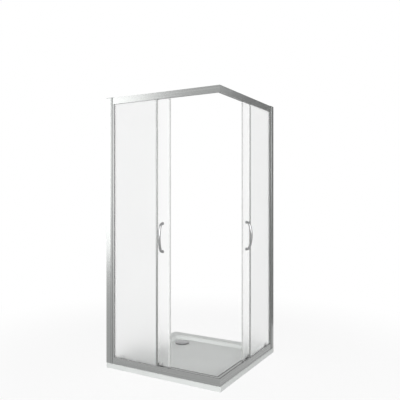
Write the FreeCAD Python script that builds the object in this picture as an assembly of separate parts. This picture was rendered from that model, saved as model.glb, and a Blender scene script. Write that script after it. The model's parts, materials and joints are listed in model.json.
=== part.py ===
import FreeCAD, Part
import math
import os

from FreeCAD import Vector

# Square corner-entry shower enclosure on its tray, in millimetres.
#
# The floor is z = 0 and the origin is the centre of the tray's underside. The room's walls would
# stand at the tray's -X and +Y edges. The left screen faces -Y and the right screen faces +X, and
# they meet at the entry corner (+X, -Y). The right screen is the left one mirrored in the upright
# plane x = -y, so every piece of a screen is drawn once, on the left, in this local frame:
#   s  distance from the wall, along the screen, towards the entry corner
#   d  depth behind the screen's outer face, into the shower
#   z  height above the floor
# Both doors are drawn fully open.

# ---- tray ----
tray_side = 900.0
tray_height = 33.0
tray_corner_radius = 12.0
tray_edge_round = 3.0
rim_width = 75.0
basin_depth = 22.0
basin_wall_run = 20.0
basin_corner_radius = 50.0

# ---- waste ----
waste_inset = 184.0
waste_hole_radius = 45.0
waste_flange_radius = 56.0
waste_flange_thickness = 2.5
waste_seal_thickness = 1.0
waste_recess_gap = 0.8
waste_spigot_gap = 0.5
waste_spigot_wall = 2.5
waste_spigot_lift = 0.5
waste_lip = 2.0
waste_hub_radius = 8.0
waste_arm_width = 5.0
waste_arm_count = 3
cover_radius = 54.0
cover_thickness = 2.0
cover_rise = 5.0
cover_foot_height = 4.0
cover_foot_radius = 3.0
cover_foot_inset = 7.0
cover_peg_radius = 3.0
cover_peg_clearance = 0.08
lift_off_gap = 0.3

# ---- frame ----
frame_height = 1850.0
frame_setback = 5.0
rail_height = 45.0
rail_wall = 2.0
rail_lip = 2.4
rail_bevel_drop = 11.0
rail_bevel_run = 1.0
rail_edge_round = 0.8
rail_top_drop = 0.0
channel_width = 39.0
channel_wall = 1.8
channel_edge_round = 1.0
nesting_gap = 0.3
jamb_reveal = 20.0
jamb_engagement = 25.0
jamb_groove_width = 8.0
jamb_groove_depth = 3.0
jamb_groove_margin = 2.0
glazing_leg = 8.0
cap_thickness = 3.0
cap_plug_height = 8.0
cap_plug_gap = 0.5

# ---- glass and gaskets ----
glass_thickness = 5.0
glass_edge_round = 1.0
fixed_glass_setback = 6.0
glass_spacing = 12.0
fixed_glass_width = 366.0
slot_depth = 14.0
gasket_leg = 1.5
gasket_base = 1.8
gasket_clearance = 0.05
gasket_bead = 2.0
gasket_rail_bead = 1.5
infill_thickness = 1.6
infill_clip_height = 5.0
infill_clearance = 0.15

# ---- seal on the free edge of each fixed pane ----
edge_profile_wall = 1.3
edge_profile_outer_leg = 7.0
edge_profile_inner_leg = 14.0
edge_profile_gap = 0.1
fin_width = 5.0
fin_thickness = 1.2
fin_root = 3.0
fin_tip_gap = 0.5
seal_end_gap = 0.6

# ---- sliding doors ----
door_overlap = 18.0
door_open_gap = 3.0
door_floor_gap = 1.5
door_top_entry = 34.0
track_offset = 4.5
track_width = 6.2
track_depth = 5.0
track_lip_rise = 8.0
track_lip_thickness = 2.0
seal_wall = 1.3
seal_grip = 8.0
seal_base = 1.5
magnet_seal_reach = 11.0
magnet_seal_width = 10.0
magnet_meeting_gap = 0.6
magnet_width = 5.0
magnet_depth = 4.0
trailing_fin_reach = 7.0

# ---- rollers ----
lead_roller_inset = 73.0
trail_roller_inset = 66.0
top_wheel_radius = 10.0
top_wheel_width = 5.0
top_wheel_web = 2.6
wheel_rim = 2.5
wheel_running_gap = 0.3
axle_clearance = 0.05
top_axle_radius = 3.0
top_axle_head_radius = 8.5
top_axle_head_height = 4.5
top_axle_collar_radius = 5.0
top_axle_end_thickness = 0.6
top_bush_radius = 5.4
bush_clearance = 0.1
axial_play = 0.15
guide_wheel_radius = 5.0
guide_wheel_width = 3.0
guide_axle_radius = 1.5
fork_cheek = 0.95
fork_crown = 1.5
fork_skirt = 2.5
housing_width = 36.0
housing_depth = 9.2
housing_lift = 1.5
housing_roof = 1.5
housing_side_gap = 0.5
plate_thickness = 3.8
plate_round = 2.5
stem_radius = 2.0
knob_radius = 4.0
knob_height = 4.0
release_travel = 6.0
spring_solid_height = 3.5
spring_inner_gap = 0.2
spring_wire = 0.5
roller_screw_spacing = 25.0
roller_screw_height = 8.0
stop_length = 8.0
stop_height = 12.0

# ---- handle ----
handle_inset = 53.0
handle_open_gap = 3.0
handle_height = 892.0
handle_hole_spacing = 185.0
handle_rise = 40.0
handle_bend_radius = 26.0
handle_bar_radius = 8.5
handle_foot_radius = 10.0
handle_foot_height = 3.0
handle_screw_radius = 3.0
handle_screw_depth = 10.0
handle_screw_head_radius = 6.5
handle_screw_head_height = 3.0

# ---- screws and bushes ----
screw_radius = 2.0
screw_clearance = 0.05
screw_head_radius = 3.9
screw_head_height = 1.9
frame_screw_length = 18.0
port_radius = 3.5
port_bite = 0.7
bracket_leg = 50.0
bracket_clearance = 0.3
small_bush_radius = 3.5
wall_hole_radius = 3.0
wall_hole_count = 3
wall_hole_margin = 125.0
jamb_screw_inset = 28.0
jamb_screw_length = 12.0
jamb_screw_head_radius = 4.0
jamb_screw_head_height = 2.4
screw_cap_radius = 6.5
screw_cap_height = 4.0
screw_cap_wall = 1.0

# ---- places worked out from the sizes ----
half_tray = tray_side / 2
mitre_reach = 2 * (tray_side + tray_height + frame_height)
wall_x = -half_tray
face_y = -half_tray + frame_setback
frame_run = tray_side - frame_setback
rim_z = tray_height
bottom_rail_z = rim_z
bottom_rail_top = bottom_rail_z + rail_height
channel_top = rim_z + frame_height - cap_thickness
top_rail_top = channel_top - rail_top_drop
top_rail_z = top_rail_top - rail_height

slot_front = fixed_glass_setback - gasket_leg
slot_back = fixed_glass_setback + glass_thickness + gasket_leg
web_back = slot_back + rail_wall
door_front = fixed_glass_setback + glass_thickness + glass_spacing
door_back = door_front + glass_thickness
track_centre = door_back + track_offset
track_front = track_centre - track_width / 2
track_back = track_centre + track_width / 2
rail_depth = track_back + rail_lip
inner_wall_face = rail_depth - rail_wall
groove_floor = bottom_rail_top - track_depth
lip_top = top_rail_z + track_lip_rise + track_lip_thickness

jamb_face = channel_width + jamb_reveal
jamb_back_edge = channel_width - jamb_engagement
jamb_front = channel_wall + nesting_gap
jamb_rear = rail_depth - channel_wall - nesting_gap
fixed_edge_near_wall = jamb_face + gasket_base
fixed_free_edge = fixed_edge_near_wall + fixed_glass_width

door_mid = (door_front + door_back) / 2
closed_seal_tip = frame_run - door_mid
closed_leading_edge = closed_seal_tip - magnet_seal_reach
closed_trailing_edge = fixed_free_edge - door_overlap
door_glass_width = closed_leading_edge - closed_trailing_edge
# A door opens until its trailing edge nears the jamb or its handle nears the fixed pane's fin.
fin_tip_s = fixed_free_edge + edge_profile_gap + edge_profile_wall + fin_width
edge_at_jamb_stop = jamb_face + door_open_gap + door_glass_width
edge_at_handle_stop = fin_tip_s + handle_open_gap + handle_foot_radius + handle_inset
open_leading_edge = max(edge_at_jamb_stop, edge_at_handle_stop)
open_trailing_edge = open_leading_edge - door_glass_width
door_travel = closed_trailing_edge - open_trailing_edge
door_bottom = bottom_rail_top + door_floor_gap
door_top = top_rail_z + door_top_entry
lead_roller_s = open_leading_edge - lead_roller_inset
trail_roller_s = open_trailing_edge + trail_roller_inset
top_axle_z = lip_top + wheel_running_gap + top_wheel_radius
guide_axle_z = groove_floor + wheel_running_gap + guide_wheel_radius
fork_top = guide_axle_z + guide_wheel_radius + axial_play + fork_crown
fork_half_depth = guide_wheel_width / 2 + axial_play + fork_cheek
housing_bottom = door_bottom + housing_lift
housing_roof_z = fork_top + release_travel + spring_solid_height
housing_top = housing_roof_z + housing_roof
roller_screw_z = housing_bottom + roller_screw_height
handle_s = open_leading_edge - handle_inset
handle_z = rim_z + handle_height
handle_hole_heights = (handle_z - handle_hole_spacing / 2, handle_z + handle_hole_spacing / 2)
waste_centre = Vector(-half_tray + waste_inset, half_tray - waste_inset, 0)
basin_floor = tray_height - basin_depth
smallest_edge = 0.0001


# ---- drawing helpers, in the left screen's local frame ----
def place(s, d, z):
    return Vector(wall_x + s, face_y + d, z)


def block(s_range, d_range, z_range):
    size = [high - low for low, high in (s_range, d_range, z_range)]
    return Part.makeBox(*size, place(s_range[0], d_range[0], z_range[0]))


def outline(corners, to_point):
    """A closed face through flat (u, v) corners, a third number rounding its corner."""
    edges = []
    ends = []
    count = len(corners)
    for i, corner in enumerate(corners):
        here = Vector(corner[0], corner[1], 0)
        radius = corner[2] if len(corner) > 2 else 0
        if not radius:
            ends.append((here, here))
            continue
        before = Vector(corners[i - 1][0], corners[i - 1][1], 0) - here
        after = Vector(corners[(i + 1) % count][0], corners[(i + 1) % count][1], 0) - here
        before.normalize()
        after.normalize()
        half_angle = before.getAngle(after) / 2
        inward = (before + after).normalize()
        tangent = radius / math.tan(half_angle)
        centre = here + inward * (radius / math.sin(half_angle))
        start = here + before * tangent
        end = here + after * tangent
        middle = centre - inward * radius
        arc = [to_point(point.x, point.y) for point in (start, middle, end)]
        edges.append(Part.Arc(*arc).toShape())
        ends.append((start, end))
    for i in range(count):
        leave = ends[i][1]
        arrive = ends[(i + 1) % count][0]
        if leave.distanceToPoint(arrive) > smallest_edge:
            line = Part.LineSegment(to_point(leave.x, leave.y), to_point(arrive.x, arrive.y))
            edges.append(line.toShape())
    return Part.Face(Part.Wire(Part.__sortEdges__(edges)))


def bar(corners, s_start, s_end):
    """An extrusion along the screen, its section given as (d, z) corners."""
    face = outline(corners, lambda d, z: place(s_start, d, z))
    return face.extrude(Vector(s_end - s_start, 0, 0))


def post(corners, z_start, z_end):
    """An upright extrusion, its section given as (s, d) corners."""
    face = outline(corners, lambda s, d: place(s, d, z_start))
    return face.extrude(Vector(0, 0, z_end - z_start))


def rectangle(u_range, v_range, radius=0):
    return [(u, v, radius) for u, v in ((u_range[0], v_range[0]), (u_range[1], v_range[0]),
                                        (u_range[1], v_range[1]), (u_range[0], v_range[1]))]


def rod(radius, s, z, d_start, d_end):
    """A cylinder through the screen."""
    return Part.makeCylinder(radius, d_end - d_start, place(s, d_start, z), Vector(0, 1, 0))


def upright_rod(radius, s, d, z_start, z_end):
    return Part.makeCylinder(radius, z_end - z_start, place(s, d, z_start), Vector(0, 0, 1))


def spun(profile, centre, axis, across):
    """A solid of revolution: (radius, height) points spun about the axis at the centre."""
    points = [centre + across * radius + axis * height for radius, height in profile]
    face = Part.Face(Part.makePolygon(points + points[:1]))
    return face.revolve(centre, axis, 360)


def countersunk_screw(head_centre, direction, length):
    """A screw whose flat head lies flush at head_centre."""
    across = Vector(0, 0, 1) if abs(direction.z) < 0.5 else Vector(1, 0, 0)
    profile = [(0, 0), (screw_head_radius, 0), (screw_radius, screw_head_height),
               (screw_radius, length), (0, length)]
    return spun(profile, head_centre, direction, across)


def countersunk_hole(head_centre, direction, length):
    """The hole for that screw, a little wider all along."""
    across = Vector(0, 0, 1) if abs(direction.z) < 0.5 else Vector(1, 0, 0)
    profile = [(0, 0), (screw_head_radius + screw_clearance, 0),
               (screw_radius + screw_clearance, screw_head_height),
               (screw_radius + screw_clearance, length), (0, length)]
    return spun(profile, head_centre, direction, across)


def mirrored(shape):
    """The same piece on the right screen."""
    return shape.mirror(Vector(0, 0, 0), Vector(1, 1, 0))


def before_mitre(shape):
    """What lies on the left screen's side of the entry corner's mitre plane."""
    far = mitre_reach
    corners = [Vector(-far, far, -far), Vector(-far, -far, -far), Vector(far, -far, -far)]
    side = Part.Face(Part.makePolygon(corners + corners[:1])).extrude(Vector(0, 0, 2 * far))
    return shape.common(side)


# ---- the tray and its waste ----
def rounded_square(half_side, radius, z):
    corners = rectangle((-half_side, half_side), (-half_side, half_side), radius)
    return outline(corners, lambda x, y: Vector(x, y, z)).OuterWire


def shower_tray():
    outer = Part.Face(rounded_square(half_tray, tray_corner_radius, 0))
    slab = outer.extrude(Vector(0, 0, tray_height))
    top_edges = [edge for edge in slab.Edges
                 if all(abs(v.Z - tray_height) < 0.001 for v in edge.Vertexes)]
    slab = slab.makeFillet(tray_edge_round, top_edges)
    basin_half = half_tray - rim_width
    slope = basin_wall_run / basin_depth
    lift = tray_edge_round
    mouth = rounded_square(basin_half + slope * lift, basin_corner_radius, tray_height + lift)
    floor = rounded_square(basin_half - basin_wall_run, basin_corner_radius, basin_floor)
    basin = Part.makeLoft([floor, mouth], True, True)
    recess_depth = waste_flange_thickness + waste_seal_thickness
    recess_radius = waste_flange_radius + waste_recess_gap
    recess = Part.makeCylinder(recess_radius, basin_depth,
                               waste_centre + Vector(0, 0, basin_floor - recess_depth))
    hole = Part.makeCylinder(waste_hole_radius, tray_height, waste_centre)
    return slab.cut([basin, recess, hole])


def waste_seal():
    bottom = basin_floor - waste_flange_thickness - waste_seal_thickness
    ring = Part.makeCylinder(waste_flange_radius, waste_seal_thickness,
                             waste_centre + Vector(0, 0, bottom))
    bore = Part.makeCylinder(waste_hole_radius, waste_seal_thickness,
                             waste_centre + Vector(0, 0, bottom))
    return ring.cut(bore)


def waste_flange():
    """A flush ring with a spigot through the tray and a three-armed hub for the cover's peg."""
    spigot_outer = waste_hole_radius - waste_spigot_gap
    spigot_inner = spigot_outer - waste_spigot_wall
    underside = basin_floor - waste_flange_thickness
    mouth = spigot_inner - waste_lip
    profile = [(spigot_inner, waste_spigot_lift), (spigot_outer, waste_spigot_lift),
               (spigot_outer, underside), (waste_flange_radius, underside),
               (waste_flange_radius, basin_floor), (mouth, basin_floor),
               (mouth, underside), (spigot_inner, underside)]
    ring = spun(profile, waste_centre, Vector(0, 0, 1), Vector(1, 0, 0))
    hub_base = waste_centre + Vector(0, 0, underside)
    hub = Part.makeCylinder(waste_hub_radius, waste_flange_thickness, hub_base)
    arm_length = (spigot_inner + spigot_outer) / 2
    arm = Part.makeBox(arm_length, waste_arm_width, waste_flange_thickness,
                       hub_base - Vector(0, waste_arm_width / 2, 0))
    for i in range(waste_arm_count):
        turned = arm.copy()
        turned.rotate(waste_centre, Vector(0, 0, 1), i * 360 / waste_arm_count)
        ring = ring.fuse(turned)
    peg_hole = Part.makeCylinder(cover_peg_radius + cover_peg_clearance,
                                 waste_flange_thickness, hub_base)
    return ring.fuse(hub).cut(peg_hole).removeSplitter()


def waste_cover():
    """A low dome on feet, with a peg that drops into the flange's hub."""
    base = basin_floor + lift_off_gap
    skirt = base + cover_foot_height
    sphere_radius = (cover_radius ** 2 + cover_rise ** 2) / (2 * cover_rise)
    crown = skirt + cover_thickness + cover_rise
    outer = Part.makeSphere(sphere_radius, waste_centre + Vector(0, 0, crown - sphere_radius))
    inner = Part.makeSphere(sphere_radius - cover_thickness,
                            waste_centre + Vector(0, 0, crown - sphere_radius))
    blank = Part.makeCylinder(cover_radius, cover_thickness + cover_rise,
                              waste_centre + Vector(0, 0, skirt))
    dome = blank.common(outer).cut(inner)
    foot_circle = cover_radius - cover_foot_inset
    inner_crown = crown - cover_thickness
    pieces = [(cover_peg_radius, Vector(0, 0, 0), basin_floor - waste_flange_thickness)]
    for i in range(waste_arm_count):
        angle = 2 * math.pi * (i + 0.5) / waste_arm_count
        offset = Vector(foot_circle * math.cos(angle), foot_circle * math.sin(angle), 0)
        pieces.append((cover_foot_radius, offset, base))
    for radius, offset, bottom in pieces:
        start = waste_centre + offset + Vector(0, 0, bottom)
        column = Part.makeCylinder(radius, inner_crown + cover_thickness / 2 - bottom, start)
        dome = dome.fuse(column.common(outer))
    return dome.removeSplitter()


# ---- wall channels and jambs ----
def hole_heights():
    low = rim_z + wall_hole_margin
    high = channel_top - wall_hole_margin
    step = (high - low) / (wall_hole_count - 1)
    return [low + i * step for i in range(wall_hole_count)]


def wall_channel():
    section = [(0, 0), (channel_width, 0, channel_edge_round), (channel_width, channel_wall),
               (channel_wall, channel_wall), (channel_wall, rail_depth - channel_wall),
               (channel_width, rail_depth - channel_wall), (channel_width, rail_depth, channel_edge_round),
               (0, rail_depth)]
    body = post(section, rim_z, channel_top)
    tools = []
    for z in hole_heights():
        tools.append(Part.makeCylinder(wall_hole_radius, channel_wall, place(0, rail_depth / 2, z),
                                       Vector(1, 0, 0)))
        tools.append(rod(screw_radius + screw_clearance, jamb_screw_inset, z,
                         rail_depth - channel_wall, rail_depth))
    return body.cut(tools)


def wall_jamb():
    """The adjusting profile: a box open towards the wall, a face groove and two glazing legs."""
    inner_front = jamb_front + channel_wall
    inner_rear = jamb_rear - channel_wall
    groove_end = jamb_face - jamb_groove_margin
    groove_start = groove_end - jamb_groove_width
    groove_floor_d = jamb_front + jamb_groove_depth
    web = jamb_face - jamb_groove_margin
    section = [(jamb_back_edge, jamb_front), (groove_start, jamb_front),
               (groove_start, groove_floor_d), (groove_end, groove_floor_d),
               (groove_end, jamb_front), (jamb_face, jamb_front),
               (jamb_face, jamb_rear, channel_edge_round), (jamb_back_edge, jamb_rear),
               (jamb_back_edge, inner_rear), (web, inner_rear),
               (web, groove_floor_d + channel_wall),
               (groove_start - channel_wall, groove_floor_d + channel_wall),
               (groove_start - channel_wall, inner_front), (jamb_back_edge, inner_front)]
    body = post(section, rim_z, channel_top)
    leg_end = jamb_face + glazing_leg
    for leg in ((jamb_front, slot_front), (slot_back, slot_back + channel_wall)):
        corners = rectangle((jamb_face, leg_end), leg)
        body = body.fuse(post(corners, bottom_rail_top, top_rail_z))
    tools = [countersunk_hole(head, Vector(1, 0, 0), frame_screw_length)
             for head in rail_end_screw_heads()]
    for z in hole_heights():
        tools.append(rod(screw_radius + screw_clearance, jamb_screw_inset, z,
                         inner_rear, jamb_rear))
    return body.cut(tools).removeSplitter()


def channel_cap():
    """A thin lid over the channel and the jamb, with a plug behind the jamb."""
    lid = bar([(0, channel_top), (rail_depth, channel_top),
               (rail_depth, channel_top + cap_thickness, channel_edge_round),
               (0, channel_top + cap_thickness, channel_edge_round)], 0, jamb_face)
    inside = channel_wall + cap_plug_gap
    plug = block((inside, jamb_back_edge - cap_plug_gap), (inside, rail_depth - inside),
                 (channel_top - cap_plug_height, channel_top))
    return lid.fuse(plug)


def jamb_screws():
    screws = []
    for z in hole_heights():
        head = rod(jamb_screw_head_radius, jamb_screw_inset, z,
                   rail_depth, rail_depth + jamb_screw_head_height)
        shank = rod(screw_radius, jamb_screw_inset, z, rail_depth - jamb_screw_length, rail_depth)
        screws.append(head.fuse(shank))
    return screws


def jamb_screw_caps():
    """Hollow domed covers over the jamb screws' heads."""
    profile = [(jamb_screw_head_radius + screw_clearance, 0), (screw_cap_radius, 0),
               (screw_cap_radius, screw_cap_height - screw_cap_wall),
               (screw_cap_radius - screw_cap_wall, screw_cap_height), (0, screw_cap_height),
               (0, jamb_screw_head_height + screw_clearance),
               (jamb_screw_head_radius + screw_clearance, jamb_screw_head_height + screw_clearance)]
    return [spun(profile, place(jamb_screw_inset, rail_depth, z), Vector(0, 1, 0), Vector(0, 0, 1))
            for z in hole_heights()]


# ---- rails ----
def bottom_port_centres():
    """Screw ports of the bottom rail's section, as (d, z)."""
    on_floor = (door_front, bottom_rail_z + rail_wall + port_radius - port_bite)
    on_web = (web_back + port_radius - port_bite,
              bottom_rail_top - slot_depth - port_radius)
    return [on_floor, on_web]


def top_port_centres():
    """Screw ports of the top rail's section, as (d, z)."""
    height = top_rail_top - rail_wall - port_radius + port_bite
    front = (fixed_glass_setback + port_radius / 2, height)
    back = (web_back + port_radius - port_bite, height)
    return [front, back]


def rail_end_screw_heads():
    web = jamb_face - jamb_groove_margin
    return [place(web, d, z) for d, z in bottom_port_centres() + top_port_centres()]


def add_ports(rail, centres, start):
    for d, z in centres:
        boss = Part.makeCylinder(port_radius, frame_run - start, place(start, d, z), Vector(1, 0, 0))
        rail = rail.fuse(boss)
    holes = []
    for d, z in centres:
        bore = Part.makeCylinder(screw_radius + screw_clearance, frame_run - start,
                                 place(start, d, z), Vector(1, 0, 0))
        holes.append(bore)
    return rail.cut(holes)


def bottom_rail():
    """A hollow sill: glazing slot near the face, a shallow wheel groove along the inner edge."""
    low = bottom_rail_z
    high = bottom_rail_top
    start = jamb_face
    section = [(0, low, rail_edge_round), (rail_depth, low, rail_edge_round),
               (rail_depth, high, rail_edge_round), (rail_bevel_run, high),
               (0, high - rail_bevel_drop, rail_bevel_run)]
    rail = bar(section, start, frame_run)
    slot = rectangle((slot_front, slot_back), (high - slot_depth, high + rail_wall))
    groove = rectangle((track_front, track_back), (groove_floor, high + rail_wall))
    front_cavity = rectangle((rail_wall, slot_back), (low + rail_wall, high - slot_depth - rail_wall))
    back_cavity = [(web_back, low + rail_wall), (inner_wall_face, low + rail_wall),
                   (inner_wall_face, groove_floor - rail_wall),
                   (track_front - rail_wall, groove_floor - rail_wall),
                   (track_front - rail_wall, high - rail_wall), (web_back, high - rail_wall)]
    rail = rail.cut([bar(corners, start, frame_run)
                     for corners in (slot, groove, front_cavity, back_cavity)])
    rail = add_ports(rail, bottom_port_centres(), start)
    screw = countersunk_hole(*corner_screw_places()[1], frame_screw_length)
    return before_mitre(rail.cut(screw)).removeSplitter()


def top_rail():
    """A hollow head rail: glazing pocket near the face, a chamber with the wheels' track lip."""
    low = top_rail_z
    high = top_rail_top
    start = jamb_face
    section = rectangle((0, rail_depth), (low, high), rail_edge_round)
    rail = bar(section, start, frame_run)
    pocket = rectangle((slot_front, slot_back), (low - rail_wall, low + slot_depth))
    hollow = rectangle((rail_wall, slot_back), (low + slot_depth + rail_wall, high - rail_wall))
    past = rail_depth + rail_wall
    chamber = [(web_back, low - rail_wall), (past, low - rail_wall), (past, low + track_lip_rise),
               (track_front, low + track_lip_rise), (track_front, lip_top),
               (inner_wall_face, lip_top), (inner_wall_face, high - rail_wall),
               (web_back, high - rail_wall)]
    rail = rail.cut([bar(corners, start, frame_run) for corners in (pocket, hollow, chamber)])
    rail = add_ports(rail, top_port_centres(), start)
    screw = countersunk_hole(*corner_screw_places()[0], frame_screw_length)
    return before_mitre(rail.cut(screw)).removeSplitter()


def bracket_span(low, high):
    """One corner bracket: two legs in the rails' front hollows, square to each other."""
    near = rail_wall + bracket_clearance
    far = slot_back - bracket_clearance
    leg = block((frame_run - slot_back - bracket_leg, frame_run), (near, far), (low, high))
    return before_mitre(leg)


def corner_screw_places():
    """Head centre and direction of the screw into each bracket leg: top rail, bottom rail."""
    s = frame_run - slot_back - bracket_leg / 2
    d = (rail_wall + slot_back) / 2
    return [(place(s, d, top_rail_top), Vector(0, 0, -1)),
            (place(s, d, bottom_rail_z), Vector(0, 0, 1))]


def corner_brackets():
    port_z = top_port_centres()[0][1]
    top_span = (top_rail_z + slot_depth + rail_wall + bracket_clearance,
                port_z - port_radius - bracket_clearance)
    bottom_span = (bottom_rail_z + rail_wall + bracket_clearance,
                   bottom_rail_top - slot_depth - rail_wall - bracket_clearance)
    brackets = []
    for (low, high), (head, direction) in zip((top_span, bottom_span), corner_screw_places()):
        leg = bracket_span(low, high).cut(countersunk_hole(head, direction, frame_screw_length))
        brackets.append(leg.fuse(mirrored(leg)).removeSplitter())
    return brackets


def frame_screws():
    """Identical flat-head screws: rail ends into the jamb, and rails into the corner brackets."""
    screws = [countersunk_screw(head, Vector(1, 0, 0), frame_screw_length)
              for head in rail_end_screw_heads()]
    screws += [countersunk_screw(head, direction, frame_screw_length)
               for head, direction in corner_screw_places()]
    return screws


def slot_infills():
    """Snap-in strips that close the glazing slots across the doorway."""
    strips = []
    span = (fixed_free_edge + gasket_base, frame_run)
    sides = (slot_front + infill_clearance, slot_back - infill_clearance)
    for mouth, inward in ((bottom_rail_top, -1), (top_rail_z, 1)):
        face = mouth + inward * infill_thickness
        tip = face + inward * infill_clip_height
        plate = bar(rectangle(sides, (min(mouth, face), max(mouth, face))), *span)
        for leg in ((sides[0], sides[0] + infill_thickness), (sides[1] - infill_thickness, sides[1])):
            plate = plate.fuse(bar(rectangle(leg, (min(face, tip), max(face, tip))), *span))
        strips.append(before_mitre(plate).removeSplitter())
    return strips


def track_stops():
    """Rubber blocks on the track lip that the wheels meet at each end of the door's travel."""
    stops = []
    reach = top_wheel_radius + wheel_running_gap
    behind = trail_roller_s - reach
    ahead = lead_roller_s + door_travel + reach
    for start, end in ((behind - stop_length, behind), (ahead, ahead + stop_length)):
        stops.append(block((start, end), (track_front, inner_wall_face),
                           (lip_top, lip_top + stop_height)))
    return stops


# ---- fixed panes ----
def fixed_glass():
    low = bottom_rail_top - slot_depth + gasket_base
    high = top_rail_z + slot_depth - gasket_base
    sides = (fixed_glass_setback, fixed_glass_setback + glass_thickness)
    corners = [(fixed_edge_near_wall, sides[0]), (fixed_free_edge, sides[0], glass_edge_round),
               (fixed_free_edge, sides[1], glass_edge_round), (fixed_edge_near_wall, sides[1])]
    return post(corners, low, high)


def fixed_gaskets():
    """U-shaped glazing rubbers: one up the jamb, one in each rail's slot."""
    front = (slot_front + gasket_clearance, fixed_glass_setback)
    back = (fixed_glass_setback + glass_thickness, slot_back - gasket_clearance)
    base_s = jamb_face + gasket_clearance
    bead_end = jamb_face + glazing_leg + gasket_bead
    upright = [(base_s, front[0]), (bead_end, front[0], gasket_leg / 2), (bead_end, front[1]),
               (fixed_edge_near_wall, front[1]), (fixed_edge_near_wall, back[0]),
               (bead_end, back[0]), (bead_end, back[1], gasket_leg / 2), (base_s, back[1])]
    pieces = [post(upright, bottom_rail_top, top_rail_z)]
    span = (base_s, fixed_free_edge)
    for mouth, inward in ((bottom_rail_top, -1), (top_rail_z, 1)):
        floor = mouth + inward * slot_depth
        seat = floor - inward * gasket_base
        lip = mouth - inward * gasket_rail_bead
        lip_end = jamb_face + glazing_leg + gasket_bead + gasket_clearance
        buried = [(front[0], floor), (front[0], mouth), (front[1], mouth), (front[1], seat),
                  (back[0], seat), (back[0], mouth), (back[1], mouth), (back[1], floor)]
        rubber = bar(buried, *span)
        beads_end = fixed_free_edge - edge_profile_inner_leg - gasket_clearance
        for leg in (front, back):
            bead = rectangle(leg, (min(mouth, lip), max(mouth, lip)))
            rubber = rubber.fuse(bar(bead, lip_end, beads_end))
        pieces.append(rubber.removeSplitter())
    return pieces


def edge_profile():
    """The slim channel on the pane's free edge, its inner leg longer than its outer one."""
    gap = edge_profile_gap
    front = fixed_glass_setback - gap
    back = fixed_glass_setback + glass_thickness + gap
    wall = edge_profile_wall
    tip = fixed_free_edge + gap + wall
    corners = [(fixed_free_edge - edge_profile_outer_leg, front - wall, wall / 2),
               (tip, front - wall, wall / 2), (tip, back + wall, wall / 2),
               (fixed_free_edge - edge_profile_inner_leg, back + wall, wall / 2),
               (fixed_free_edge - edge_profile_inner_leg, back),
               (fixed_free_edge + gap, back), (fixed_free_edge + gap, front),
               (fixed_free_edge - edge_profile_outer_leg, front)]
    return post(corners, bottom_rail_top, top_rail_z)


def fin_seal():
    """A soft blade from the edge profile to the door's outer face, above the rollers."""
    root_s = fixed_free_edge + edge_profile_gap + edge_profile_wall
    root_d = fixed_glass_setback + glass_thickness / 2
    tip_d = door_front - fin_tip_gap
    corners = [(root_s, root_d - fin_root / 2), (root_s + fin_thickness, root_d - fin_root / 2),
               (fin_tip_s, tip_d - fin_thickness), (fin_tip_s, tip_d),
               (fin_tip_s - fin_thickness, tip_d), (root_s, root_d + fin_root / 2)]
    low = housing_top + top_axle_head_radius
    return post(corners, low, top_rail_z - seal_end_gap)


# ---- doors ----
def roller_places():
    return {"lead": lead_roller_s, "trail": trail_roller_s}


def roller_screw_offsets():
    return (-roller_screw_spacing / 2, roller_screw_spacing / 2)


def door_glass():
    corners = rectangle((open_trailing_edge, open_leading_edge), (door_front, door_back),
                        glass_edge_round)
    pane = post(corners, door_bottom, door_top)
    tools = []
    for s in roller_places().values():
        tools.append(rod(top_bush_radius + bush_clearance, s, top_axle_z, door_front, door_back))
        for offset in roller_screw_offsets():
            tools.append(rod(small_bush_radius + bush_clearance, s + offset, roller_screw_z,
                             door_front, door_back))
    for z in handle_hole_heights:
        tools.append(rod(top_bush_radius + bush_clearance, handle_s, z, door_front, door_back))
    return pane.cut(tools)


def glass_bushes():
    """Plastic sleeves that keep every screw and axle off the glass."""
    sleeves = []
    for s in roller_places().values():
        sleeves.append((top_bush_radius, top_axle_radius, s, top_axle_z))
        for offset in roller_screw_offsets():
            sleeves.append((small_bush_radius, screw_radius, s + offset, roller_screw_z))
    for z in handle_hole_heights:
        sleeves.append((top_bush_radius, handle_screw_radius, handle_s, z))
    return [rod(outer, s, z, door_front, door_back).cut(
                rod(inner + axle_clearance, s, z, door_front, door_back))
            for outer, inner, s, z in sleeves]


def door_magnet_seal():
    """The leading edge's seal: a grip over the glass and a mitred nose that holds the magnet."""
    wall = seal_wall
    base = open_leading_edge + seal_base
    front = door_mid - magnet_seal_width / 2
    back = door_mid + magnet_seal_width / 2
    tip = open_leading_edge + magnet_seal_reach - magnet_meeting_gap / 2
    nose_front = tip + (door_mid - front)
    nose_back = tip - (back - door_mid)
    corners = [(open_leading_edge - seal_grip, door_front - wall, wall / 2),
               (open_leading_edge, door_front - wall), (base, front), (nose_front, front, wall / 2),
               (nose_back, back, wall / 2), (base, back), (open_leading_edge, door_back + wall),
               (open_leading_edge - seal_grip, door_back + wall, wall / 2),
               (open_leading_edge - seal_grip, door_back), (open_leading_edge, door_back),
               (open_leading_edge, door_front), (open_leading_edge - seal_grip, door_front)]
    body = post(corners, door_bottom, top_rail_z - seal_end_gap)
    return body.cut(magnet_solid(bush_clearance))


def magnet_solid(margin):
    start = open_leading_edge + seal_base + seal_wall
    s_range = (start - margin, start + magnet_depth + margin)
    half_width = magnet_width / 2 + margin
    corners = rectangle(s_range, (door_mid - half_width, door_mid + half_width))
    return post(corners, door_bottom, top_rail_z - seal_end_gap)


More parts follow.
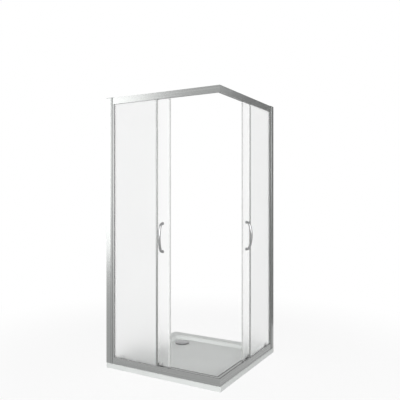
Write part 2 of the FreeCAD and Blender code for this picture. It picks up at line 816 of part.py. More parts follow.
def door_trailing_seal():
    """The trailing edge's seal: a grip over the glass and a short fin towards the fixed pane."""
    wall = seal_wall
    base = open_trailing_edge - seal_base
    grip = open_trailing_edge + seal_grip
    fin_tip = door_front - trailing_fin_reach
    corners = [(base, fin_tip, wall / 2), (base + wall, fin_tip, wall / 2),
               (base + wall, door_front - wall),
               (grip, door_front - wall, wall / 2), (grip, door_front),
               (open_trailing_edge, door_front), (open_trailing_edge, door_back),
               (grip, door_back), (grip, door_back + wall, wall / 2), (base, door_back + wall, wall)]
    return post(corners, door_bottom, top_rail_z - seal_end_gap)


def door_handle():
    """A bow of round bar, three arcs in a row, on two round feet with blind screw holes."""
    half_span = handle_hole_spacing / 2
    depth = handle_rise - handle_foot_height
    foot_d = door_front - handle_foot_height
    crown = place(handle_s, door_front - handle_rise, handle_z)
    bow_radius = half_span ** 2 - 2 * half_span * handle_bend_radius + depth ** 2
    bow_radius /= 2 * (depth - handle_bend_radius)
    bend_turn = math.degrees(math.atan2(bow_radius - depth, half_span - handle_bend_radius))
    bow_centre = crown + Vector(0, bow_radius, 0)
    section = Part.Face(Part.Wire(Part.makeCircle(handle_bar_radius, crown, Vector(0, 0, 1))))
    section.rotate(bow_centre, Vector(1, 0, 0), bend_turn - 90)
    handle = section.revolve(bow_centre, Vector(1, 0, 0), 2 * (90 - bend_turn))
    for up in (1, -1):
        z = handle_z + up * half_span
        end = Part.makeCircle(handle_bar_radius, place(handle_s, foot_d, z), Vector(0, 1, 0))
        bend_centre = place(handle_s, foot_d, z - up * handle_bend_radius)
        bend = Part.Face(Part.Wire(end)).revolve(bend_centre, Vector(1, 0, 0), up * bend_turn)
        foot = rod(handle_foot_radius, handle_s, z, foot_d, door_front)
        handle = handle.fuse([bend, foot])
    holes = [rod(handle_screw_radius + screw_clearance, handle_s, z,
                 door_front - handle_screw_depth, door_front) for z in handle_hole_heights]
    return handle.cut(holes).removeSplitter()


def door_screws():
    """Screws of the bottom rollers, from outside, and of the handle, from inside."""
    screws = []
    for s in roller_places().values():
        for offset in roller_screw_offsets():
            head = place(s + offset, door_front - plate_thickness, roller_screw_z)
            length = plate_thickness + glass_thickness + housing_depth - housing_roof
            screws.append(countersunk_screw(head, Vector(0, 1, 0), length))
    for z in handle_hole_heights:
        profile = [(0, handle_screw_head_height), (handle_screw_head_radius - 1, handle_screw_head_height),
                   (handle_screw_head_radius, handle_screw_head_height - 1),
                   (handle_screw_head_radius, 0), (handle_screw_radius, 0),
                   (handle_screw_radius, -glass_thickness - handle_screw_depth + screw_clearance),
                   (0, -glass_thickness - handle_screw_depth + screw_clearance)]
        screws.append(spun(profile, place(handle_s, door_back, z), Vector(0, 1, 0), Vector(0, 0, 1)))
    return screws


def top_axles():
    """Shoulder bolts: a domed head outside the glass, a collar, and an end flange past the wheel."""
    wheel_front = track_centre - top_wheel_width / 2 - door_front
    wheel_back = track_centre + top_wheel_width / 2 - door_front
    collar_end = wheel_front - axial_play
    flange_start = wheel_back + axial_play
    dome = top_axle_head_height / 3
    profile = [(0, -top_axle_head_height), (top_axle_head_radius - dome, -top_axle_head_height),
               (top_axle_head_radius, -top_axle_head_height + dome), (top_axle_head_radius, 0),
               (top_axle_radius, 0), (top_axle_radius, glass_thickness),
               (top_axle_collar_radius, glass_thickness), (top_axle_collar_radius, collar_end),
               (top_axle_radius, collar_end), (top_axle_radius, flange_start),
               (top_axle_collar_radius, flange_start),
               (top_axle_collar_radius, flange_start + top_axle_end_thickness),
               (0, flange_start + top_axle_end_thickness)]
    return [spun(profile, place(s, door_front, top_axle_z), Vector(0, 1, 0), Vector(0, 0, 1))
            for s in roller_places().values()]


def top_wheel(s):
    """A nylon wheel with a recessed web, running on the track lip."""
    half = top_wheel_width / 2
    web = top_wheel_web / 2
    bore = top_axle_radius + axle_clearance
    hub = bore + wheel_rim
    rim = top_wheel_radius - wheel_rim
    edge = top_wheel_radius - wheel_rim / 4
    profile = [(bore, -half), (hub, -half), (hub, -web), (rim, -web), (rim, -half), (edge, -half),
               (top_wheel_radius, -half + wheel_rim / 4), (top_wheel_radius, half - wheel_rim / 4),
               (edge, half), (rim, half), (rim, web), (hub, web), (hub, half), (bore, half)]
    return spun(profile, place(s, track_centre, top_axle_z), Vector(0, 1, 0), Vector(0, 0, 1))


def guide_wheel(s):
    half = guide_wheel_width / 2
    bore = guide_axle_radius + axle_clearance
    edge = guide_wheel_radius - half / 3
    profile = [(bore, -half), (edge, -half), (guide_wheel_radius, -half + half / 3),
               (guide_wheel_radius, half - half / 3), (edge, half), (bore, half)]
    return spun(profile, place(s, track_centre, guide_axle_z), Vector(0, 1, 0), Vector(0, 0, 1))


def release_carrier(s):
    """The sprung fork that holds a guide wheel, with a stem and a pull-up knob above the housing."""
    d_range = (track_centre - fork_half_depth, track_centre + fork_half_depth)
    s_range = (s - guide_wheel_radius, s + guide_wheel_radius)
    body = block(s_range, d_range, (guide_axle_z - fork_skirt, fork_top))
    gap = guide_wheel_width / 2 + axial_play
    slot = block(s_range, (track_centre - gap, track_centre + gap),
                 (guide_axle_z - fork_skirt, fork_top - fork_crown))
    body = body.cut(slot)
    body = body.fuse(rod(guide_axle_radius, s, guide_axle_z, *d_range))
    body = body.fuse(upright_rod(stem_radius, s, track_centre, fork_top, housing_top + knob_height))
    low = housing_top + lift_off_gap
    profile = [(0, 0), (knob_radius, 0), (knob_radius, knob_height - 1),
               (knob_radius - 1, knob_height), (0, knob_height)]
    knob = spun(profile, place(s, track_centre, low), Vector(0, 0, 1), Vector(1, 0, 0))
    return body.fuse(knob).removeSplitter()


def bottom_housings():
    """The rollers' bodies against the glass's inner face, open below for the sprung forks."""
    housings = []
    for s in roller_places().values():
        half = housing_width / 2
        corners = rectangle((s - half, s + half), (housing_bottom, housing_top), plate_round)
        face = outline(corners, lambda u, z: place(u, door_back, z))
        body = face.extrude(Vector(0, housing_depth, 0))
        pocket_half = guide_wheel_radius + housing_side_gap
        depth_half = fork_half_depth + housing_side_gap
        pocket = block((s - pocket_half, s + pocket_half),
                       (track_centre - depth_half, track_centre + depth_half),
                       (housing_bottom, housing_roof_z))
        bore = upright_rod(stem_radius + housing_side_gap, s, track_centre,
                           housing_roof_z, housing_top)
        tools = [pocket, bore]
        for offset in roller_screw_offsets():
            tools.append(rod(screw_radius + screw_clearance, s + offset, roller_screw_z,
                             door_back, door_back + housing_depth - housing_roof))
        housings.append(body.cut(tools))
    return housings


def bottom_plates():
    """Outer clamp plates of the bottom rollers."""
    plates = []
    for s in roller_places().values():
        half = housing_width / 2
        corners = rectangle((s - half, s + half), (housing_bottom, housing_top), plate_round)
        face = outline(corners, lambda u, z: place(u, door_front - plate_thickness, z))
        body = face.extrude(Vector(0, plate_thickness, 0))
        holes = [countersunk_hole(place(s + offset, door_front - plate_thickness, roller_screw_z),
                                  Vector(0, 1, 0), plate_thickness)
                 for offset in roller_screw_offsets()]
        plates.append(body.cut(holes))
    return plates


def release_springs():
    """Compression springs round the stems, drawn as plain sleeves inside the housings."""
    inner = stem_radius + spring_inner_gap
    return [upright_rod(inner + spring_wire, s, track_centre, fork_top, housing_roof_z)
            .cut(upright_rod(inner, s, track_centre, fork_top, housing_roof_z))
            for s in roller_places().values()]


# ---- the whole part ----
def as_list(pieces):
    return list(pieces) if isinstance(pieces, (list, tuple)) else [pieces]


def export(name, pieces):
    solids = []
    for piece in as_list(pieces):
        solids.extend(piece.Solids)
    shape = solids[0] if len(solids) == 1 else Part.makeCompound(solids)
    shape.exportStep(f"parts/{name}.step")
    print(name, len(solids), "valid" if shape.isValid() else "INVALID")


def export_pair(name, pieces):
    """The same piece on each screen, as two nodes."""
    export(f"left_{name}", pieces)
    export(f"right_{name}", [mirrored(piece) for piece in as_list(pieces)])


def export_shared(name, pieces):
    """The pieces of both screens in one node."""
    pieces = as_list(pieces)
    export(name, pieces + [mirrored(piece) for piece in pieces])


os.makedirs("parts", exist_ok=True)

export("shower_tray", shower_tray())
export("waste_seal", waste_seal())
export("waste_flange", waste_flange())
export("waste_cover", waste_cover())

export_pair("wall_channel", wall_channel())
export_pair("wall_jamb", wall_jamb())
export_shared("channel_caps", channel_cap())
export_shared("jamb_screws", jamb_screws())
export_shared("jamb_screw_caps", jamb_screw_caps())

export_pair("top_rail", top_rail())
export_pair("bottom_rail", bottom_rail())
export("corner_brackets", corner_brackets())
export_shared("frame_screws", frame_screws())
export_shared("slot_infills", slot_infills())
export_shared("track_stops", track_stops())

export_pair("fixed_glass", fixed_glass())
export_pair("fixed_gaskets", fixed_gaskets())
export_shared("edge_profiles", edge_profile())
export_shared("fin_seals", fin_seal())

export_pair("door_glass", door_glass())
export_pair("door_magnet_seal", door_magnet_seal())
export_pair("door_magnet", magnet_solid(0))
export_pair("door_trailing_seal", door_trailing_seal())
export_pair("door_handle", door_handle())
export_pair("door_screws", door_screws())
export_pair("glass_bushes", glass_bushes())
export_pair("top_axles", top_axles())
export_pair("bottom_plates", bottom_plates())
export_pair("bottom_housings", bottom_housings())
export_pair("release_springs", release_springs())
for end, s in roller_places().items():
    export_pair(f"top_wheel_{end}", top_wheel(s))
    export_pair(f"release_carrier_{end}", release_carrier(s))
    export_pair(f"guide_wheel_{end}", guide_wheel(s))

print("door travel", round(door_travel, 3))
print("top wheel", round(top_wheel_radius, 3), "guide wheel", round(guide_wheel_radius, 3))
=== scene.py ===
import json
import math

import bpy
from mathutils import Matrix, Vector

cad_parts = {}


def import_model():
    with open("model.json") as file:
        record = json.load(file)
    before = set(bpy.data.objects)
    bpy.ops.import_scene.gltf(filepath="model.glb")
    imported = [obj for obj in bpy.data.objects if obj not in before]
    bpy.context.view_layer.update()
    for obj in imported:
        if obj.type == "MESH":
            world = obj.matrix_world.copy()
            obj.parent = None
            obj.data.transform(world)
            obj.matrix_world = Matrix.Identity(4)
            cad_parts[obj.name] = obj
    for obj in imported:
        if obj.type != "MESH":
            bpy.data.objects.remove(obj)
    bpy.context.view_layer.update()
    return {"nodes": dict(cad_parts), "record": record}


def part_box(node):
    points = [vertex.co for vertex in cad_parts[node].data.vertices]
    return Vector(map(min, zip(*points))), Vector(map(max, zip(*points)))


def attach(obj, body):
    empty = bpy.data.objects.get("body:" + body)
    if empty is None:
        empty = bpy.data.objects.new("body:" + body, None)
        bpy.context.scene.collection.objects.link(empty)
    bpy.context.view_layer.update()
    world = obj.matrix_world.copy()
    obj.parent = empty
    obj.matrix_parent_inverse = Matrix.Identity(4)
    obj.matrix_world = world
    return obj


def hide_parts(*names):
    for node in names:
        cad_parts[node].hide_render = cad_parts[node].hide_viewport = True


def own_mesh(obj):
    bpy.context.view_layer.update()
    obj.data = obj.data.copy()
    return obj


# Looks of the shower enclosure, in metres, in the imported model's frame. The left screen faces -Y
# and the right screen faces +X. A screen's pieces are placed by s, the distance from the wall
# along it, and d, the depth behind its outer face; the right screen mirrors the left one.
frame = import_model()
SIDES = ("left", "right")

# ---- camera, solved from the photograph: degrees, pixels of 400 x 400, and mm of sensor ----
CAMERA_PLACE = (1.82370, -3.11101, 1.20633)
CAMERA_YAW = 29.495
CAMERA_PITCH = 0.021
FOCAL_PIXELS = 490.96
PRINCIPAL_X = 201.53
PRINCIPAL_Y = 195.03
IMAGE_PIXELS = 400.0
SENSOR_WIDTH = 36.0

# ---- places read from the frame ----
channel_low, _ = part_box("left_wall_channel")
bottom_low, bottom_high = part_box("left_bottom_rail")
top_low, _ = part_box("left_top_rail")
pane_low, pane_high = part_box("left_fixed_glass")
door_low, door_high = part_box("left_door_glass")
magnet_low, magnet_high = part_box("left_door_magnet")
WALL_X = channel_low.x
FACE_Y = channel_low.y
JAMB_FACE = bottom_low.x - WALL_X
PANE_START = pane_low.x - WALL_X
PANE_END = pane_high.x - WALL_X
PANE_FRONT = pane_low.y - FACE_Y
PANE_BACK = pane_high.y - FACE_Y
DOOR_START = door_low.x - WALL_X
DOOR_END = door_high.x - WALL_X
DOOR_FRONT = door_low.y - FACE_Y
DOOR_BACK = door_high.y - FACE_Y
DOOR_MID = (DOOR_FRONT + DOOR_BACK) / 2
SILL_TOP = bottom_high.z
HEAD_LOW = top_low.z

# ---- the doors' seals and the fixed panes' fins ----
SEAL_WALL = 0.0013
SEAL_GRIP = 0.008
SEAL_BASE = 0.0015
SEAL_END_GAP = 0.0006
NOSE_HALF_WIDTH = 0.005
NOSE_TIP = 0.0107
TRAILING_FIN = 0.007
TRAILING_BULGE = 0.0006
FIN_WIDTH = 0.005
FIN_ROOT_THICKNESS = 0.0028
FIN_THICKNESS = 0.0012
FIN_TAPER = 0.7
FIN_TIP_GAP = 0.0005
EDGE_PROFILE_TIP = 0.0014
ARC_STEPS = 6
BLADE_STEPS = 12
SMOOTH_DEGREES = 40

# ---- the fixed panes' glazing rubbers ----
EDGE_PROFILE_LEG = 0.014
GASKET_LEG = 0.00145
GASKET_BASE = 0.0018
GASKET_BEAD_END = 0.010
GASKET_CLEARANCE = 0.00005
SLOT_DEPTH = 0.014
RAIL_BEAD = 0.0015
BEAD_FLAT = 0.00002  # what a bead's two rounded corners leave between them

# ---- track stops, release springs and the waste's ring ----
STOP_STARTS = (-0.3403 - WALL_X, 0.3458 - WALL_X)
STOP_LENGTH = 0.008
STOP_FRONT = 0.0344
STOP_BACK = 0.0410
STOP_HEIGHT = 0.012
STOP_ROUND = 0.0015
STOP_NOSE = 0.002
STOP_NOSE_INSET = 0.0012
SPRING_WIRE = 0.0005
SPRING_TURNS = 5.5
SPRING_STEPS_A_TURN = 20
WIRE_SIDES = 6
RING_HOLE = 0.045
RING_GROOVE = (0.0485, 0.0525)
RING_GROOVE_DEPTH = 0.0003
RING_ROUND = 0.0003
RING_STEPS = 96

# ---- material figures that several finishes share ----
NOISE_LOW = 0.3
NOISE_HIGH = 0.7
NOISE_DETAIL = 3.0
FINE_RELIEF = 0.0001
DRAWN_STRETCH = 0.2
ACROSS_STRETCH = 60.0

# ---- stage ----
FLOOR_SIZE = 40.0
FLOOR_TONE = (0.90, 0.90, 0.90, 1)
SHADOW_REACH = 1.0
WHITE_REACH = 2.6
SHADOW_SHARE = 0.10
AMBIENT = 0.27
WHITE = (1, 1, 1, 1)
CARD_PLACE = (0.86, 1.2, 1.35)
CARD_WIDTH = 0.62
CARD_HEIGHT = 2.7
CARD_TONE = (0.50, 0.50, 0.50, 1)
LAMPS = (  # name, place, what it points at, width, height, watts
    ("left", (-4.2, -4.5, 1.9), (0, 0, 1.2), 1.8, 3.8, 64),
    ("key", (3.0, -4.2, 2.1), (0, 0, 0.8), 4.6, 2.2, 178),
)


# ---- placing and meshing ----
def at(side, s, d, z):
    x = WALL_X + s
    y = FACE_Y + d
    return Vector((x, y, z)) if side == "left" else Vector((-y, -x, z))


def rounded(corners):
    """A closed outline through (u, v, radius) corners, each rounded by its own arc."""
    points = []
    for i, (u, v, radius) in enumerate(corners):
        here = Vector((u, v))
        if radius == 0:
            points.append((u, v))
            continue
        before = (Vector(corners[i - 1][:2]) - here).normalized()
        after = (Vector(corners[(i + 1) % len(corners)][:2]) - here).normalized()
        half = before.angle(after) / 2
        centre = here + (before + after).normalized() * (radius / math.sin(half))
        start = here + before * (radius / math.tan(half))
        end = here + after * (radius / math.tan(half))
        for step in range(ARC_STEPS + 1):
            chord = start.lerp(end, step / ARC_STEPS) - centre
            points.append(tuple(centre + chord.normalized() * radius))
    return points


def rounded_block(low, high, radius, shrink):
    """A rounded rectangle between two (u, v) corners, drawn in by shrink on every side."""
    left, bottom = (value + shrink for value in low)
    right, top = (value - shrink for value in high)
    return rounded([(left, bottom, radius), (right, bottom, radius),
                    (right, top, radius), (left, top, radius)])


def ribbon(line, widths):
    """A closed outline along a centre line, its width running evenly from end to end."""
    left, right = [], []
    for i, point in enumerate(line):
        here = Vector(point)
        ahead = Vector(line[min(i + 1, len(line) - 1)]) - Vector(line[max(i - 1, 0)])
        across = Vector((-ahead.y, ahead.x)).normalized()
        half = (widths[0] + (widths[1] - widths[0]) * i / (len(line) - 1)) / 2
        left.append(tuple(here + across * half))
        right.append(tuple(here - across * half))
    return left + right[::-1]


def prism(outline, low, high, to_point):
    """Vertices and faces of a closed outline drawn out from low to high."""
    count = len(outline)
    corners = [to_point(u, v, low) for u, v in outline]
    corners += [to_point(u, v, high) for u, v in outline]
    faces = [tuple(range(count))[::-1], tuple(range(count, 2 * count))]
    faces += [(i, (i + 1) % count, count + (i + 1) % count, count + i) for i in range(count)]
    return corners, faces


def post(side, outline, low, high):
    """A prism that stands up, from an outline of (s, d) points."""
    return prism(outline, low, high, lambda s, d, z: at(side, s, d, z))


def bar(side, outline, start, end):
    """A prism that runs along the screen, from an outline of (d, z) points."""
    return prism(outline, start, end, lambda d, z, s: at(side, s, d, z))


def joined(shells):
    corners, faces = [], []
    for shell_corners, shell_faces in shells:
        base = len(corners)
        corners += shell_corners
        faces += [tuple(base + i for i in face) for face in shell_faces]
    return corners, faces


def piece(name, shells, slot, body):
    """A piece made of closed shells, riding on a body and finished as its slot says."""
    corners, faces = joined(shells)
    mesh = bpy.data.meshes.new(name)
    mesh.from_pydata([tuple(corner) for corner in corners], [], faces)
    mesh.update()
    built = bpy.data.objects.new(name, mesh)
    bpy.context.scene.collection.objects.link(built)
    bpy.context.view_layer.objects.active = built
    built.select_set(True)
    bpy.ops.object.mode_set(mode="EDIT")
    bpy.ops.mesh.select_all(action="SELECT")
    bpy.ops.mesh.normals_make_consistent(inside=False)
    bpy.ops.object.mode_set(mode="OBJECT")
    bpy.ops.object.shade_smooth_by_angle(angle=math.radians(SMOOTH_DEGREES))
    built.select_set(False)
    mesh.materials.append(MATERIALS[slot])
    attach(built, body)
    return built


# ---- material building blocks ----
def new_material(name):
    material = bpy.data.materials.new(name)
    material.use_nodes = True
    return material, material.node_tree, material.node_tree.nodes["Principled BSDF"]


def settle(shader, values):
    """Sets the sockets that are the same all over the surface."""
    for socket, value in values.items():
        shader.inputs[socket].default_value = value


def grain(tree, scale, stretch):
    """Noise in the object's own space, stretched along an axis where it makes streaks."""
    place = tree.nodes.new("ShaderNodeTexCoord")
    mapping = tree.nodes.new("ShaderNodeMapping")
    mapping.inputs["Scale"].default_value = stretch
    texture = tree.nodes.new("ShaderNodeTexNoise")
    texture.inputs["Scale"].default_value = scale
    texture.inputs["Detail"].default_value = NOISE_DETAIL
    tree.links.new(place.outputs["Object"], mapping.inputs["Vector"])
    tree.links.new(mapping.outputs["Vector"], texture.inputs["Vector"])
    return texture.outputs["Fac"]


def tint(tree, factor, shader, tones):
    """The base colour, varying between two close tones."""
    ramp = tree.nodes.new("ShaderNodeValToRGB")
    for element, place, tone in zip(ramp.color_ramp.elements, (NOISE_LOW, NOISE_HIGH), tones):
        element.position = place
        element.color = (*tone, 1)
    tree.links.new(factor, ramp.inputs["Fac"])
    tree.links.new(ramp.outputs["Color"], shader.inputs["Base Color"])


def polish(tree, factor, shader, rough):
    """The roughness, varying between a low and a high value."""
    spread = tree.nodes.new("ShaderNodeMapRange")
    settle(spread, {"From Min": NOISE_LOW, "From Max": NOISE_HIGH,
                    "To Min": rough[0], "To Max": rough[1]})
    tree.links.new(factor, spread.inputs["Value"])
    tree.links.new(spread.outputs["Result"], shader.inputs["Roughness"])


def relief(tree, factor, shader, strength, distance):
    bump = tree.nodes.new("ShaderNodeBump")
    settle(bump, {"Strength": strength, "Distance": distance})
    tree.links.new(factor, bump.inputs["Height"])
    tree.links.new(bump.outputs["Normal"], shader.inputs["Normal"])


def surface(name, tones, rough, drift, fine, strength, distance=FINE_RELIEF, stretch=(1, 1, 1)):
    """A material whose tone and roughness drift and whose surface has a fine relief."""
    material, tree, shader = new_material(name)
    slow = grain(tree, drift, stretch)
    tint(tree, slow, shader, tones)
    polish(tree, slow, shader, rough)
    relief(tree, grain(tree, fine, stretch), shader, strength, distance)
    return material, tree, shader


# ---- materials ----
def acrylic():
    material, _, shader = surface(
        "white_acrylic", tones=((0.73, 0.75, 0.737), (0.77, 0.79, 0.777)), rough=(0.34, 0.44),
        drift=5.0, fine=700.0, strength=0.05, distance=0.0002)
    settle(shader, {"Coat Weight": 0.10, "Coat Roughness": 0.30})
    return material


def metal(name, metallic=1.0, **finish):
    material, _, shader = surface(name, **finish)
    settle(shader, {"Metallic": metallic})
    return material


def aluminium(name, axis, rough):
    """Anodised aluminium with its drawing lines along one axis."""
    return metal(
        f"{name}_{axis}", tones=((0.30, 0.307, 0.303), (0.345, 0.352, 0.347)), rough=rough,
        drift=6.0, fine=14.0, strength=0.08, distance=0.0002,
        stretch=[DRAWN_STRETCH if other == axis else ACROSS_STRETCH for other in "xyz"])


def frosted_glass():
    """Satin glass: it blurs what stands behind it, and lets the lamps' light through."""
    material, tree, shader = surface(
        "frosted_glass", tones=((0.937, 0.939, 0.938), (0.947, 0.949, 0.948)),
        rough=(0.47, 0.51), drift=3.0, fine=1600.0, strength=0.04)
    settle(shader, {"Transmission Weight": 1.0, "IOR": 1.22})
    rays = tree.nodes.new("ShaderNodeLightPath")
    clear = tree.nodes.new("ShaderNodeBsdfTransparent")
    settle(clear, {"Color": (0.87, 0.875, 0.872, 1)})
    mix = tree.nodes.new("ShaderNodeMixShader")
    tree.links.new(rays.outputs["Is Shadow Ray"], mix.inputs["Fac"])
    tree.links.new(shader.outputs["BSDF"], mix.inputs[1])
    tree.links.new(clear.outputs["BSDF"], mix.inputs[2])
    tree.links.new(mix.outputs["Shader"], tree.nodes["Material Output"].inputs["Surface"])
    return material


def clear_seal():
    material, _, shader = surface(
        "clear_seal", tones=((0.86, 0.865, 0.86), (0.91, 0.915, 0.91)), rough=(0.24, 0.34),
        drift=40.0, fine=500.0, strength=0.05)
    settle(shader, {"Alpha": 0.12})
    return material


def plastic(name, dark, light, rough):
    material, _, _ = surface(name, tones=(dark, light), rough=rough, drift=60.0, fine=1100.0,
                             strength=0.1)
    return material


MATERIALS = {
    "white_acrylic": acrylic(),
    "chrome": metal("chrome", tones=((0.28, 0.283, 0.286), (0.33, 0.333, 0.336)),
                    rough=(0.16, 0.24), drift=24.0, fine=500.0, strength=0.03),
    "steel": metal("steel", tones=((0.34, 0.34, 0.35), (0.46, 0.46, 0.47)),
                   rough=(0.25, 0.42), drift=160.0, fine=900.0, strength=0.15),
    "cast_alloy": metal("cast_alloy", tones=((0.24, 0.25, 0.26), (0.34, 0.35, 0.36)),
                        rough=(0.45, 0.65), drift=90.0, fine=600.0, strength=0.4,
                        distance=0.0003, metallic=0.9),
    "frosted_glass": frosted_glass(),
    "clear_seal": clear_seal(),
    "grey_rubber": plastic("grey_rubber", (0.040, 0.042, 0.045), (0.065, 0.068, 0.072),
                           (0.65, 0.8)),
    "grey_plastic": plastic("grey_plastic", (0.30, 0.31, 0.31), (0.36, 0.37, 0.37),
                            (0.35, 0.48)),
    "roller_plastic": plastic("roller_plastic", (0.38, 0.385, 0.39), (0.44, 0.445, 0.45),
                              (0.4, 0.5)),
    "magnet_strip": plastic("magnet_strip", (0.88, 0.89, 0.88), (0.92, 0.93, 0.92),
                            (0.55, 0.7)),
    "nylon": plastic("nylon", (0.56, 0.56, 0.53), (0.64, 0.64, 0.61), (0.38, 0.5)),
}
DRAWN = {axis: aluminium("bright_aluminium", axis, (0.20, 0.28)) for axis in "xyz"}
# the jambs are duller than the other profiles, and the roller plates brighter than the handles
JAMB_FINISH = aluminium("satin_aluminium", "z", (0.36, 0.44))
PLATE_FINISH = metal("satin_chrome", tones=((0.66, 0.665, 0.66), (0.74, 0.745, 0.74)),
                     rough=(0.34, 0.44), drift=30.0, fine=700.0, strength=0.08)
OWN_FINISH = {
    "left_wall_jamb": JAMB_FINISH,
    "right_wall_jamb": JAMB_FINISH,
    "left_bottom_plates": PLATE_FINISH,
    "right_bottom_plates": PLATE_FINISH,
}


def drawing_axis(node):
    """Which way a profile was drawn: along its longest side."""
    low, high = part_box(node)
    size = high - low
    return "xyz"[max(range(3), key=lambda i: size[i])]


def finish_nodes():
    slots = {part["node"]: part["material_slot"] for part in frame["record"]["subparts"]}
    for name, node in frame["nodes"].items():
        slot = slots[name]
        if name in OWN_FINISH:
            material = OWN_FINISH[name]
        elif slot == "bright_aluminium":
            material = DRAWN[drawing_axis(name)]
        else:
            material = MATERIALS[slot]
        node.data.materials.clear()
        node.data.materials.append(material)


# ---- seals and gaskets, in place of their plain solids ----
def seal_heights():
    return SILL_TOP + SEAL_BASE, HEAD_LOW - SEAL_END_GAP


def magnet_seal(side):
    """The leading edge's seal: a soft grip over the glass and a mitred nose round the magnet."""
    low, high = seal_heights()
    outer, inner = DOOR_FRONT - SEAL_WALL, DOOR_BACK + SEAL_WALL
    grip_end = DOOR_END - SEAL_GRIP
    base = DOOR_END + SEAL_BASE
    half = SEAL_WALL / 2
    grip = rounded([(grip_end, outer, half), (base, outer, half),
                    (base, inner, half), (grip_end, inner, half),
                    (grip_end, DOOR_BACK, 0), (DOOR_END, DOOR_BACK, 0),
                    (DOOR_END, DOOR_FRONT, 0), (grip_end, DOOR_FRONT, 0)])
    magnet_start = magnet_low.x - WALL_X
    magnet_end = magnet_high.x - WALL_X
    magnet_front = magnet_low.y - FACE_Y
    tip = DOOR_END + NOSE_TIP
    nose_front, nose_back = DOOR_MID - NOSE_HALF_WIDTH, DOOR_MID + NOSE_HALF_WIDTH
    nose = rounded([(base, nose_front, half), (tip + NOSE_HALF_WIDTH, nose_front, half),
                    (tip - NOSE_HALF_WIDTH, nose_back, half), (magnet_end, nose_back, 0),
                    (magnet_end, magnet_front, 0), (magnet_start, magnet_front, 0),
                    (magnet_start, nose_back, 0), (base, nose_back, half)])
    seal = piece(f"{side}_magnet_seal",
                 [post(side, grip, low, high), post(side, nose, low, high)],
                 "clear_seal", f"{side}_door")
    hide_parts(f"{side}_door_magnet_seal")


def trailing_seal(side):
    """The trailing edge's seal: a grip over the glass and a blade that curves to the pane."""
    low, high = seal_heights()
    outer, inner = DOOR_FRONT - SEAL_WALL, DOOR_BACK + SEAL_WALL
    half = SEAL_WALL / 2
    base = DOOR_START - SEAL_BASE
    grip_end = DOOR_START + SEAL_GRIP
    grip = rounded([(base, outer, half), (grip_end, outer, half),
                    (grip_end, DOOR_FRONT, 0), (DOOR_START, DOOR_FRONT, 0),
                    (DOOR_START, DOOR_BACK, 0), (grip_end, DOOR_BACK, 0),
                    (grip_end, inner, half), (base, inner, half)])
    root_s, root_d = base + half, DOOR_FRONT - half
    tip_d = DOOR_FRONT - TRAILING_FIN
    line = [(root_s + TRAILING_BULGE * math.sin(math.pi * i / BLADE_STEPS),
             root_d + (tip_d - root_d) * i / BLADE_STEPS) for i in range(BLADE_STEPS + 1)]
    blade = ribbon(line, (SEAL_WALL, SEAL_WALL / 2))
    seal = piece(f"{side}_trailing_seal",
                 [post(side, grip, low, high), post(side, blade, low, high)],
                 "clear_seal", f"{side}_door")
    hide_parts(f"{side}_door_trailing_seal")


def fin_seals():
    """The blades on the fixed panes' edge channels, curving back to the doors' outer faces."""
    low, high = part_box("fin_seals")
    root = Vector((PANE_END + EDGE_PROFILE_TIP, (PANE_FRONT + PANE_BACK) / 2))
    tip = Vector((root.x + FIN_WIDTH, DOOR_FRONT - FIN_TIP_GAP - FIN_THICKNESS / 2))
    bend = Vector((tip.x, root.y))
    shares = [i / BLADE_STEPS for i in range(BLADE_STEPS + 1)]
    line = [tuple(root.lerp(bend, share).lerp(bend.lerp(tip, share), share)) for share in shares]
    blade = ribbon(line, (FIN_ROOT_THICKNESS, FIN_THICKNESS * FIN_TAPER))
    fins = piece("fin_blades", [post(side, blade, low.z, high.z) for side in SIDES],
                 "clear_seal", "root")
    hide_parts("fin_seals")


def fixed_gaskets(side):
    """Glazing rubbers round three sides of the fixed pane, with beads that show at the jamb
    and the rails."""
    start = JAMB_FACE + GASKET_CLEARANCE
    half = GASKET_LEG / 2 - BEAD_FLAT
    legs = ((PANE_FRONT - GASKET_LEG, PANE_FRONT), (PANE_BACK, PANE_BACK + GASKET_LEG))
    shells = []
    for front, back in legs:
        end = JAMB_FACE + GASKET_BEAD_END
        bead = rounded([(start, front, 0), (end, front, half), (end, back, half),
                        (start, back, 0)])
        shells.append(post(side, bead, SILL_TOP, HEAD_LOW))
    web = [(start, PANE_FRONT), (PANE_START, PANE_FRONT), (PANE_START, PANE_BACK),
           (start, PANE_BACK)]
    shells.append(post(side, web, SILL_TOP, HEAD_LOW))
    bead_start = JAMB_FACE + GASKET_BEAD_END + GASKET_CLEARANCE
    bead_end = PANE_END - EDGE_PROFILE_LEG - GASKET_CLEARANCE
    for mouth, inward in ((SILL_TOP, -1), (HEAD_LOW, 1)):
        floor_z = mouth + inward * SLOT_DEPTH
        seat = floor_z - inward * GASKET_BASE
        lip = mouth - inward * RAIL_BEAD
        base = [(legs[0][0], floor_z), (legs[1][1], floor_z), (legs[1][1], seat),
                (legs[0][0], seat)]
        shells.append(bar(side, base, start, PANE_END))
        for front, back in legs:
            wall = [(front, seat), (back, seat), (back, mouth), (front, mouth)]
            shells.append(bar(side, wall, start, PANE_END))
            bead = rounded([(front, mouth, 0), (back, mouth, 0), (back, lip, half),
                            (front, lip, half)])
            shells.append(bar(side, bead, bead_start, bead_end))
    gasket = piece(f"{side}_glazing_rubber", shells, "clear_seal", "root")
    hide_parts(f"{side}_fixed_gaskets")


